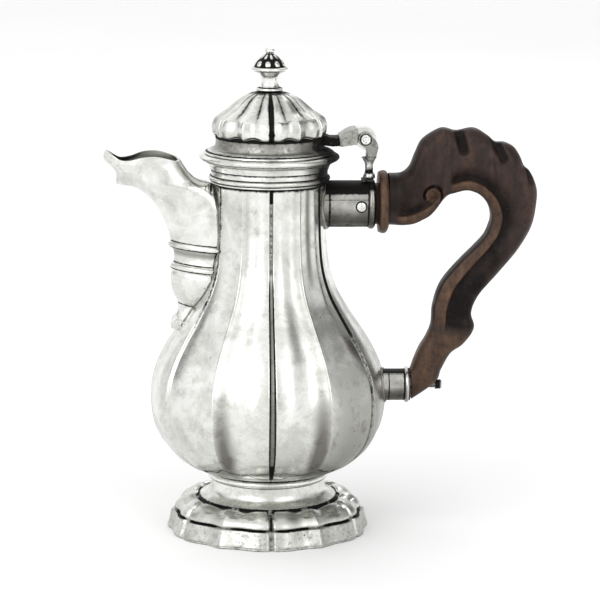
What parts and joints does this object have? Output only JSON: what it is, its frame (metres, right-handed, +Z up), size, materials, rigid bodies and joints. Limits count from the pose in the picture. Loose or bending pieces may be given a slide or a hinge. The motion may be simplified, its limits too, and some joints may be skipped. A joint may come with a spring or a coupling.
{
  "type": "coffee pot",
  "caption": "Fluted pear-shaped coffee pot with a hinged domed lid, turned finial, beak spout with a moulded drop, socketed scroll handle in carved wood and a lobed spreading foot.",
  "frame": {"origin": "middle of the foot, on the surface that the pot stands on", "axes": "+Z up, +X towards the handle, -X towards the spout, -Y the side seen with the spout on the left"},
  "size_m": [0.187, 0.102, 0.21],
  "materials": {
    "silver": "raised and planished sterling silver, hand-polished, with fine scratches and dark tarnish in its grooves and joints",
    "silver_dark": "sterling silver with more tarnish, on the sockets, the finial and the inner pieces",
    "wood": "carved fruitwood, stained dark brown and rubbed lighter on its edges and mouldings"
  },
  "bodies": {
    "pot": {"body": "silver", "strainer": "silver_dark", "neck_ring": "silver", "mouth_moulding": "silver", "foot_collar": "silver", "foot_spool": "silver", "foot_cushion": "silver", "foot_band": "silver", "foot_wire": "silver", "spout": "silver", "spout_drop": "silver", "upper_socket": "silver_dark", "upper_socket_collar": "silver_dark", "upper_socket_pin": "silver", "lower_socket": "silver_dark", "lower_socket_collar": "silver_dark", "handle": "wood", "handle_bolt": "silver_dark", "handle_nut": "silver_dark", "hinge_saddle": "silver_dark", "hinge_bracket": "silver", "hinge_pin": "silver"},
    "lid": {"lid_dome": "silver", "lid_flange": "silver", "lid_bezel": "silver", "lid_hinge_arm": "silver", "finial": "silver_dark", "finial_washer": "silver_dark", "finial_nut": "silver_dark"}
  },
  "joints": [
    {"name": "lid_hinge", "type": "hinge", "parent": "pot", "child": "lid", "pos_m": [0.041, 0, 0.1714], "axis": [0, 1, 0], "range_deg": [0, 105]}
  ]
}
